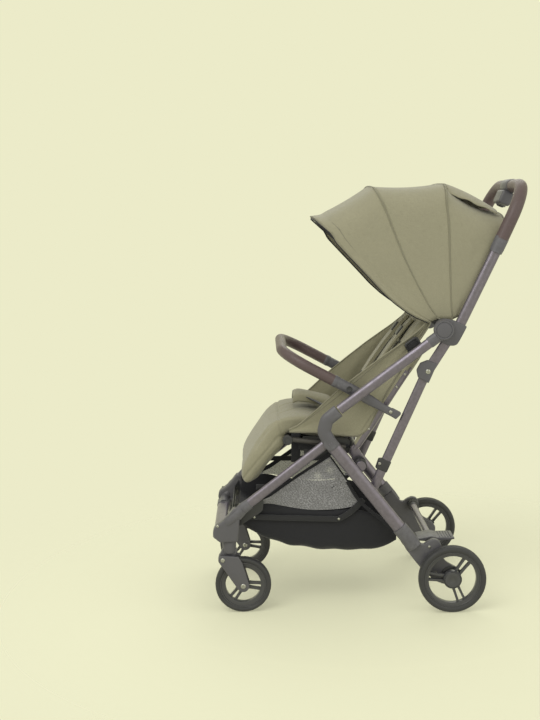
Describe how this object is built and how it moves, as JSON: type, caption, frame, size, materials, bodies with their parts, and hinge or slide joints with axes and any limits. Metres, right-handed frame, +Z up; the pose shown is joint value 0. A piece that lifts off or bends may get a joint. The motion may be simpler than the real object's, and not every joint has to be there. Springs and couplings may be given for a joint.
{
  "type": "compact folding stroller",
  "caption": "Compact folding stroller: hooded padded seat on a tube frame with bumper bar, legrest, sagging basket, swivel front wheels and U handle.",
  "frame": {"origin": "on the floor at the middle of the footprint's bounding box, under the seat", "axes": "-Y is the way the stroller faces, +X its left side, +Z up from the floor"},
  "size_m": [0.4716, 0.7633, 1.0115],
  "materials": {
    "tube": "metallic gunmetal powder coat, satin",
    "dark_tube": "black powder coat, satin",
    "steel": "satin",
    "plastic": "mid grey moulded, fine grain",
    "dark_plastic": "near-black moulded",
    "leather": "brown dimpled leather-look cover, satin",
    "canvas": "olive woven canvas, matte",
    "basket_cloth": "black woven cloth with grey mesh sides",
    "tyre": "dark grey foamed tread, satin"
  },
  "bodies": {
    "rear_axles": {"rear_axle_left": "steel", "rear_axle_right": "steel"},
    "rear_frame": {"rear_leg_left": "tube", "rear_leg_right": "tube", "rear_foot_left": "plastic", "rear_foot_right": "plastic", "rear_crossbar": "tube", "basket": "basket_cloth"},
    "rear_wheel_left": {"rear_tyre_left": "tyre", "rear_rim_left": "plastic"},
    "rear_wheel_right": {"rear_tyre_right": "tyre", "rear_rim_right": "plastic"},
    "brake_pedal": {"brake_pedal": "plastic"},
    "brake_pin_left": {"brake_pin_left": "steel"},
    "brake_pin_right": {"brake_pin_right": "steel"},
    "front_frame": {"front_leg_left": "tube", "front_leg_right": "tube", "front_casting_left": "plastic", "front_casting_right": "plastic", "front_crossbar": "tube", "seat_base_frame": "dark_tube", "seat_pad": "canvas", "harness_buckle": "plastic"},
    "buckle_button": {"buckle_button": "dark_plastic"},
    "caster_left": {"caster_head_left": "plastic"},
    "caster_right": {"caster_head_right": "plastic"},
    "fork_left": {"caster_fork_left": "plastic"},
    "fork_right": {"caster_fork_right": "plastic"},
    "front_wheel_left": {"front_tyre_left": "tyre", "front_rim_left": "plastic"},
    "front_wheel_right": {"front_tyre_right": "tyre", "front_rim_right": "plastic"},
    "armrests": {"armrest_tube_left": "tube", "armrest_tube_right": "tube", "elbow_left": "plastic", "elbow_right": "plastic"},
    "handle": {"handle_tube_left": "tube", "handle_tube_right": "tube", "handle_grip": "leather", "handle_module": "plastic", "handle_sleeve_left": "plastic", "handle_sleeve_right": "plastic"},
    "fold_button": {"fold_button": "dark_plastic"},
    "lower_tubes": {"lower_tube_left": "tube", "lower_tube_right": "tube"},
    "recline_block": {"recline_block": "dark_plastic"},
    "seat_back": {"seat_back_frame": "tube", "back_pad": "canvas"},
    "bumper_links": {"bumper_link_left": "plastic", "bumper_link_right": "plastic"},
    "bumper_bar": {"bumper_bar": "leather"},
    "bumper_button_left": {"bumper_button_left": "dark_plastic"},
    "bumper_button_right": {"bumper_button_right": "dark_plastic"},
    "legrest": {"legrest_pad": "canvas"},
    "canopy_rear": {"canopy_bow_rear": "dark_tube", "canopy_panel_rear": "canvas"},
    "canopy_middle": {"canopy_bow_middle": "dark_tube", "canopy_panel_middle": "canvas"},
    "canopy_front": {"canopy_bow_front": "dark_tube", "canopy_panel_front": "canvas"}
  },
  "joints": [
    {"name": "frame_fold", "type": "hinge", "parent": "rear_frame", "child": "front_frame", "pos_m": [0, -0.0973, 0.4135], "axis": [1, 0, 0], "range_deg": [0, 62.5], "deforming": ["basket"]},
    {"name": "rear_frame_lean", "type": "hinge", "parent": "rear_axles", "child": "rear_frame", "pos_m": [0, 0.1807, 0.08], "axis": [-1, 0, 0], "range_deg": [0, 30.05]},
    {"name": "armrest_fold", "type": "hinge", "parent": "rear_frame", "child": "armrests", "pos_m": [0, -0.0973, 0.4135], "axis": [-1, 0, 0], "range_deg": [0, 80.6]},
    {"name": "handle_fold", "type": "hinge", "parent": "armrests", "child": "handle", "pos_m": [0, 0.1717, 0.67], "axis": [1, 0, 0], "range_deg": [0, 136.6]},
    {"name": "lower_tube_fold", "type": "hinge", "parent": "rear_frame", "child": "lower_tubes", "pos_m": [0, -0.0011, 0.2852], "axis": [-1, 0, 0], "range_deg": [0, 98.95]},
    {"name": "seat_back_fold", "type": "hinge", "parent": "rear_frame", "child": "recline_block", "pos_m": [0, -0.0267, 0.3533], "axis": [-1, 0, 0], "range_deg": [0, 98]},
    {"name": "bumper_fold", "type": "hinge", "parent": "armrests", "child": "bumper_links", "pos_m": [0, -0.0243, 0.523], "axis": [1, 0, 0], "range_deg": [0, 59.9]},
    {"name": "canopy_rear_fold", "type": "hinge", "parent": "handle", "child": "canopy_rear", "pos_m": [0, 0.1717, 0.67], "axis": [-1, 0, 0], "range_deg": [0, 19.5], "deforming": ["canopy_panel_rear"]},
    {"name": "canopy_middle_fold", "type": "hinge", "parent": "canopy_rear", "child": "canopy_middle", "pos_m": [0, 0.1717, 0.67], "axis": [-1, 0, 0], "range_deg": [0, 25.5], "deforming": ["canopy_panel_middle"]},
    {"name": "canopy_front_fold", "type": "hinge", "parent": "canopy_middle", "child": "canopy_front", "pos_m": [0, 0.1717, 0.67], "axis": [-1, 0, 0], "range_deg": [0, 20.7], "deforming": ["canopy_panel_front"]},
    {"name": "recline", "type": "hinge", "parent": "recline_block", "child": "seat_back", "pos_m": [0, -0.0267, 0.3533], "axis": [1, 0, 0], "range_deg": [-40, 0]},
    {"name": "legrest_turn", "type": "hinge", "parent": "front_frame", "child": "legrest", "pos_m": [0, -0.1963, 0.416], "axis": [-1, 0, 0], "range_deg": [-25, 40]},
    {"name": "bumper_release", "type": "slide", "parent": "bumper_links", "child": "bumper_bar", "axis": [0, -0.8678, 0.497], "range_m": [0, 0.04]},
    {"name": "bumper_button_left_press", "type": "slide", "parent": "bumper_links", "child": "bumper_button_left", "axis": [-1, 0, 0], "range_m": [0, 0.002], "stiffness_N_per_m": 900, "springref_m": -0.002},
    {"name": "rear_wheel_left_spin", "type": "hinge", "parent": "rear_axles", "child": "rear_wheel_left", "pos_m": [0.2226, 0.1807, 0.08], "axis": [1, 0, 0], "continuous": true},
    {"name": "caster_left_swivel", "type": "hinge", "parent": "front_frame", "child": "caster_left", "pos_m": [0.168, -0.3443, 0.1764], "axis": [0, 0, 1], "continuous": true},
    {"name": "fork_left_spring", "type": "hinge", "parent": "caster_left", "child": "fork_left", "pos_m": [0.168, -0.3608, 0.133], "axis": [1, 0, 0], "range_deg": [0, 7], "stiffness_Nm_per_rad": 40, "springref_deg": -5.73},
    {"name": "front_wheel_left_spin", "type": "hinge", "parent": "fork_left", "child": "front_wheel_left", "pos_m": [0.168, -0.3143, 0.0673], "axis": [1, 0, 0], "continuous": true},
    {"name": "bumper_button_right_press", "type": "slide", "parent": "bumper_links", "child": "bumper_button_right", "axis": [1, 0, 0], "range_m": [0, 0.002], "stiffness_N_per_m": 900, "springref_m": -0.002},
    {"name": "rear_wheel_right_spin", "type": "hinge", "parent": "rear_axles", "child": "rear_wheel_right", "pos_m": [-0.2226, 0.1807, 0.08], "axis": [1, 0, 0], "continuous": true},
    {"name": "caster_right_swivel", "type": "hinge", "parent": "front_frame", "child": "caster_right", "pos_m": [-0.168, -0.3443, 0.1764], "axis": [0, 0, 1], "continuous": true},
    {"name": "fork_right_spring", "type": "hinge", "parent": "caster_right", "child": "fork_right", "pos_m": [-0.168, -0.3608, 0.133], "axis": [1, 0, 0], "range_deg": [0, 7], "stiffness_Nm_per_rad": 40, "springref_deg": -5.73},
    {"name": "front_wheel_right_spin", "type": "hinge", "parent": "fork_right", "child": "front_wheel_right", "pos_m": [-0.168, -0.3143, 0.0673], "axis": [1, 0, 0], "continuous": true},
    {"name": "brake_press", "type": "hinge", "parent": "rear_frame", "child": "brake_pedal", "pos_m": [0.14, 0.1407, 0.154], "axis": [-1, 0, 0], "range_deg": [0, 12]},
    {"name": "brake_pin_left_slide", "type": "slide", "parent": "rear_frame", "child": "brake_pin_left", "axis": [1, 0, 0], "range_m": [0, 0.0051]},
    {"name": "brake_pin_right_slide", "type": "slide", "parent": "rear_frame", "child": "brake_pin_right", "axis": [-1, 0, 0], "range_m": [0, 0.0051]},
    {"name": "fold_button_press", "type": "slide", "parent": "handle", "child": "fold_button", "axis": [0, 0.4179, 0.9085], "range_m": [0, 0.004], "stiffness_N_per_m": 600, "springref_m": -0.003},
    {"name": "buckle_press", "type": "slide", "parent": "front_frame", "child": "buckle_button", "axis": [0, -0.3387, -0.9409], "range_m": [0, 0.002], "stiffness_N_per_m": 900, "springref_m": -0.002}
  ],
  "couplings": [
    {"joint": "rear_frame_lean", "follows": "frame_fold", "ratio": 0.48},
    {"joint": "armrest_fold", "follows": "frame_fold", "ratio": 1.288},
    {"joint": "handle_fold", "follows": "frame_fold", "ratio": 2.184},
    {"joint": "lower_tube_fold", "follows": "frame_fold", "ratio": 1.5818},
    {"joint": "seat_back_fold", "follows": "frame_fold", "ratio": 1.5664},
    {"joint": "bumper_fold", "follows": "frame_fold", "ratio": 0.9568},
    {"joint": "canopy_rear_fold", "follows": "frame_fold", "ratio": 0.3104},
    {"joint": "canopy_middle_fold", "follows": "frame_fold", "ratio": 0.4064},
    {"joint": "canopy_front_fold", "follows": "frame_fold", "ratio": 0.3296},
    {"joint": "brake_pin_left_slide", "follows": "brake_press", "m_per_rad": 0.023873},
    {"joint": "brake_pin_right_slide", "follows": "brake_press", "m_per_rad": 0.023873}
  ]
}
